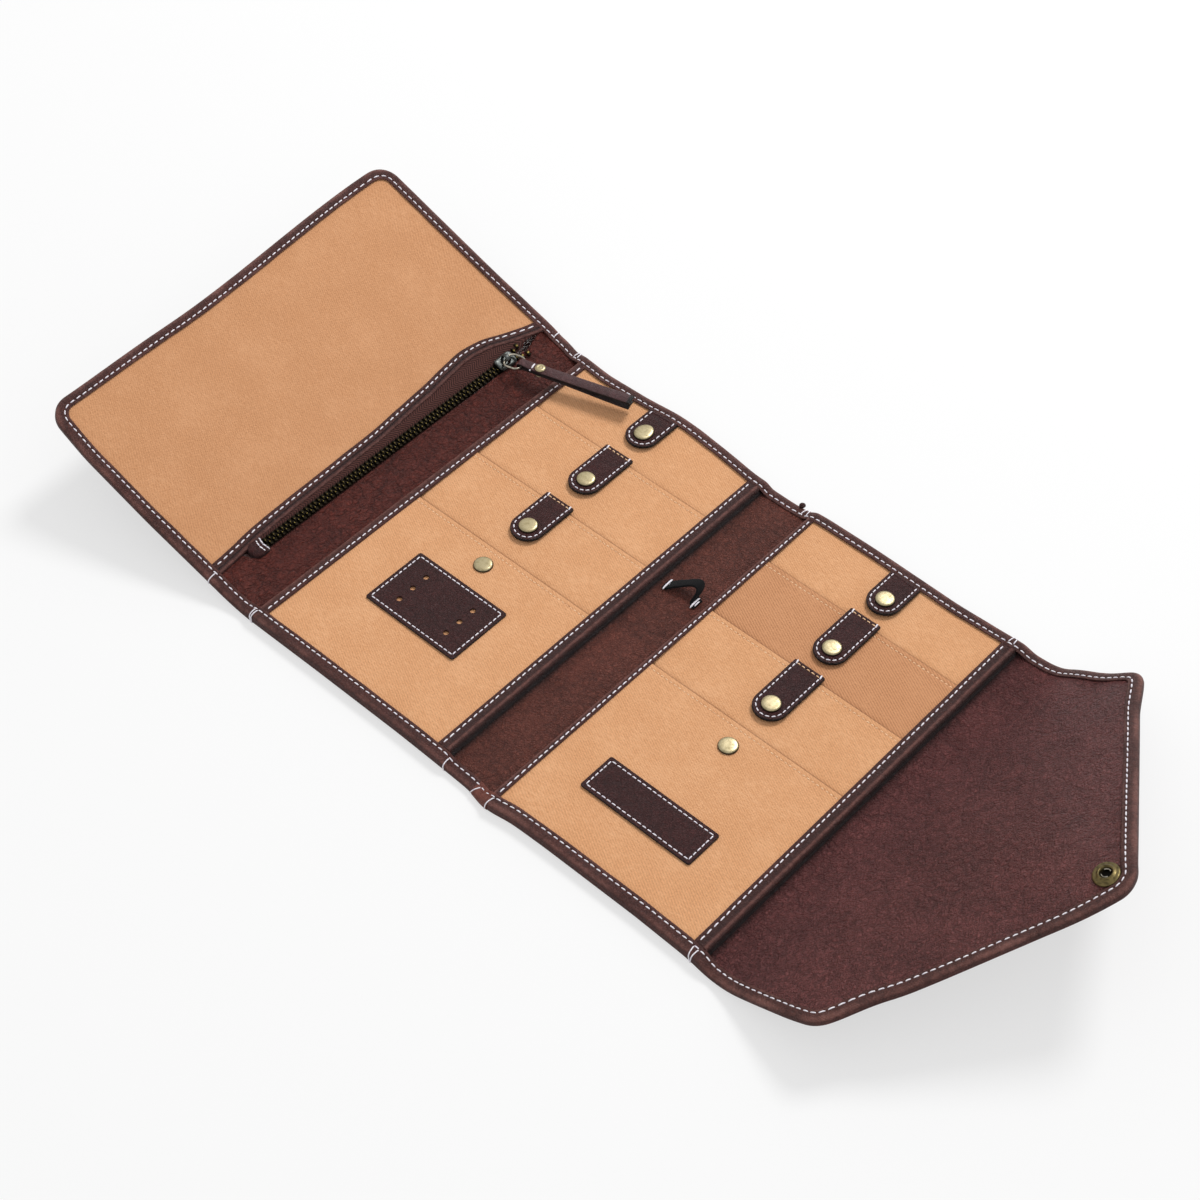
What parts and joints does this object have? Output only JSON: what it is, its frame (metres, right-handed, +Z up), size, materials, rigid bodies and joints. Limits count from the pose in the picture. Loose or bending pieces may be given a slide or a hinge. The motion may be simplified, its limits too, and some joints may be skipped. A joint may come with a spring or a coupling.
{
  "type": "knitting needle case",
  "caption": "Open leather needle case with canvas pockets, snap tabs, zip pocket panel and envelope flap.",
  "frame": {"origin": "on the table under the middle of the open case, at the bounding box's bottom centre", "axes": "+X from the zip panel towards the flap's tip, +Y towards the first pocket row, +Z up"},
  "size_m": [0.6078, 0.256, 0.0723],
  "materials": {
    "brown_leather": "satin",
    "flap_leather": "satin",
    "dark_leather": "satin",
    "canvas": "matte",
    "antique_brass": "polished",
    "dark_brass": "satin",
    "gunmetal": "satin",
    "zip_tape": "matte",
    "black_elastic": "matte"
  },
  "bodies": {
    "panel_b": {"panel_b_outer_leather": "brown_leather", "panel_b_pocket_row_1": "canvas", "panel_b_pocket_row_2": "canvas", "panel_b_pocket_row_3": "canvas", "panel_b_pocket_row_4": "canvas", "panel_b_edge_binding": "brown_leather", "panel_b_mouth_binding": "brown_leather", "panel_b_name_patch": "brown_leather", "panel_b_row_4_snap": "antique_brass", "panel_b_tab_1_stud": "antique_brass", "panel_b_tab_2_stud": "antique_brass", "panel_b_tab_3_stud": "antique_brass"},
    "spine_2": {"spine_2_outer_leather": "brown_leather", "spine_2_bound_lining": "brown_leather", "spine_2_elastic_loop": "black_elastic"},
    "panel_a": {"panel_a_outer_leather": "brown_leather", "panel_a_pocket_row_1": "canvas", "panel_a_pocket_row_2": "canvas", "panel_a_pocket_row_3": "canvas", "panel_a_pocket_row_4": "canvas", "panel_a_edge_binding": "brown_leather", "panel_a_mouth_binding": "brown_leather", "panel_a_hole_patch": "brown_leather", "panel_a_row_4_snap": "antique_brass", "panel_a_tab_1_stud": "antique_brass", "panel_a_tab_2_stud": "antique_brass", "panel_a_tab_3_stud": "antique_brass", "panel_a_closure_stud": "antique_brass"},
    "spine_1": {"spine_1_outer_leather": "brown_leather", "spine_1_bound_lining": "brown_leather"},
    "zip_panel": {"zip_panel_outer_leather": "brown_leather", "zip_panel_canvas_face": "canvas", "zip_panel_edge_binding": "brown_leather", "zip_panel_zip_strip": "brown_leather", "zip_panel_zip_tape": "zip_tape", "zip_panel_zip_teeth": "dark_brass", "zip_panel_zip_end_tab": "dark_leather"},
    "zip_slider": {"zip_slider": "gunmetal"},
    "pull_ring": {"pull_ring": "gunmetal"},
    "pull_leather": {"pull_leather": "dark_leather", "pull_rivet": "antique_brass"},
    "gusset": {"gusset_outer_leather": "brown_leather", "gusset_bound_lining": "brown_leather"},
    "flap": {"flap_outer_leather": "flap_leather", "flap_lining": "flap_leather", "flap_edge_binding": "brown_leather", "flap_snap_socket": "antique_brass", "flap_snap_cap": "antique_brass"},
    "panel_a_tab_1": {"panel_a_tab_1_strap": "brown_leather", "panel_a_tab_1_cap": "antique_brass"},
    "panel_a_tab_2": {"panel_a_tab_2_strap": "brown_leather", "panel_a_tab_2_cap": "antique_brass"},
    "panel_a_tab_3": {"panel_a_tab_3_strap": "brown_leather", "panel_a_tab_3_cap": "antique_brass"},
    "panel_b_tab_1": {"panel_b_tab_1_strap": "brown_leather", "panel_b_tab_1_cap": "antique_brass"},
    "panel_b_tab_2": {"panel_b_tab_2_strap": "brown_leather", "panel_b_tab_2_cap": "antique_brass"},
    "panel_b_tab_3": {"panel_b_tab_3_strap": "brown_leather", "panel_b_tab_3_cap": "antique_brass"}
  },
  "joints": [
    {"name": "spine_2_fold", "type": "hinge", "parent": "panel_b", "child": "spine_2", "pos_m": [0.02317, 0, 0.0022], "axis": [0, 1, 0], "range_deg": [0, 90]},
    {"name": "panel_a_fold", "type": "hinge", "parent": "spine_2", "child": "panel_a", "pos_m": [-0.00403, 0, 0.0022], "axis": [0, 1, 0], "range_deg": [0, 90]},
    {"name": "spine_1_fold", "type": "hinge", "parent": "panel_a", "child": "spine_1", "pos_m": [-0.15353, 0, 0.0022], "axis": [0, 1, 0], "range_deg": [-9, 78]},
    {"name": "zip_panel_fold", "type": "hinge", "parent": "spine_1", "child": "zip_panel", "pos_m": [-0.17016, 0, 0.00573], "axis": [0, 1, 0], "range_deg": [-9.6, 83]},
    {"name": "zip_slide", "type": "slide", "parent": "zip_panel", "child": "zip_slider", "axis": [0, 1, 0], "range_m": [-0.178, 0]},
    {"name": "pull_ring_swing", "type": "hinge", "parent": "zip_slider", "child": "pull_ring", "pos_m": [-0.17378, 0.0935, 0.01396], "axis": [0, 1, 0], "range_deg": [-161.1, 18.6]},
    {"name": "pull_leather_swing", "type": "hinge", "parent": "pull_ring", "child": "pull_leather", "pos_m": [-0.16419, 0.09632, 0.01396], "axis": [-0.2823, 0.9593, 0], "range_deg": [-60, 0]},
    {"name": "gusset_fold", "type": "hinge", "parent": "panel_b", "child": "gusset", "pos_m": [0.17927, 0, 0.0022], "axis": [0, -1, 0], "range_deg": [-25, 63]},
    {"name": "flap_fold", "type": "hinge", "parent": "gusset", "child": "flap", "pos_m": [0.20796, 0, 0.01682], "axis": [0, -1, 0], "range_deg": [-2.5, 87.5]},
    {"name": "panel_a_tab_1_lift", "type": "hinge", "parent": "panel_a", "child": "panel_a_tab_1", "pos_m": [-0.08103, 0.12055, 0.0078], "axis": [1, 0, 0], "range_deg": [-150, 0]},
    {"name": "panel_a_tab_2_lift", "type": "hinge", "parent": "panel_a", "child": "panel_a_tab_2", "pos_m": [-0.08103, 0.08697, 0.0078], "axis": [1, 0, 0], "range_deg": [-150, 0]},
    {"name": "panel_a_tab_3_lift", "type": "hinge", "parent": "panel_a", "child": "panel_a_tab_3", "pos_m": [-0.08103, 0.03871, 0.0078], "axis": [1, 0, 0], "range_deg": [-150, 0]},
    {"name": "panel_b_tab_1_lift", "type": "hinge", "parent": "panel_b", "child": "panel_b_tab_1", "pos_m": [0.09297, 0.12055, 0.0078], "axis": [1, 0, 0], "range_deg": [-150, 0]},
    {"name": "panel_b_tab_2_lift", "type": "hinge", "parent": "panel_b", "child": "panel_b_tab_2", "pos_m": [0.09297, 0.08518, 0.0078], "axis": [1, 0, 0], "range_deg": [-150, 0]},
    {"name": "panel_b_tab_3_lift", "type": "hinge", "parent": "panel_b", "child": "panel_b_tab_3", "pos_m": [0.09297, 0.0391, 0.0078], "axis": [1, 0, 0], "range_deg": [-150, 0]}
  ],
  "couplings": [
    {"joint": "zip_panel_fold", "follows": "spine_1_fold", "ratio": 1.0641},
    {"joint": "pull_ring_swing", "follows": "spine_1_fold", "ratio": -2.0641}
  ]
}
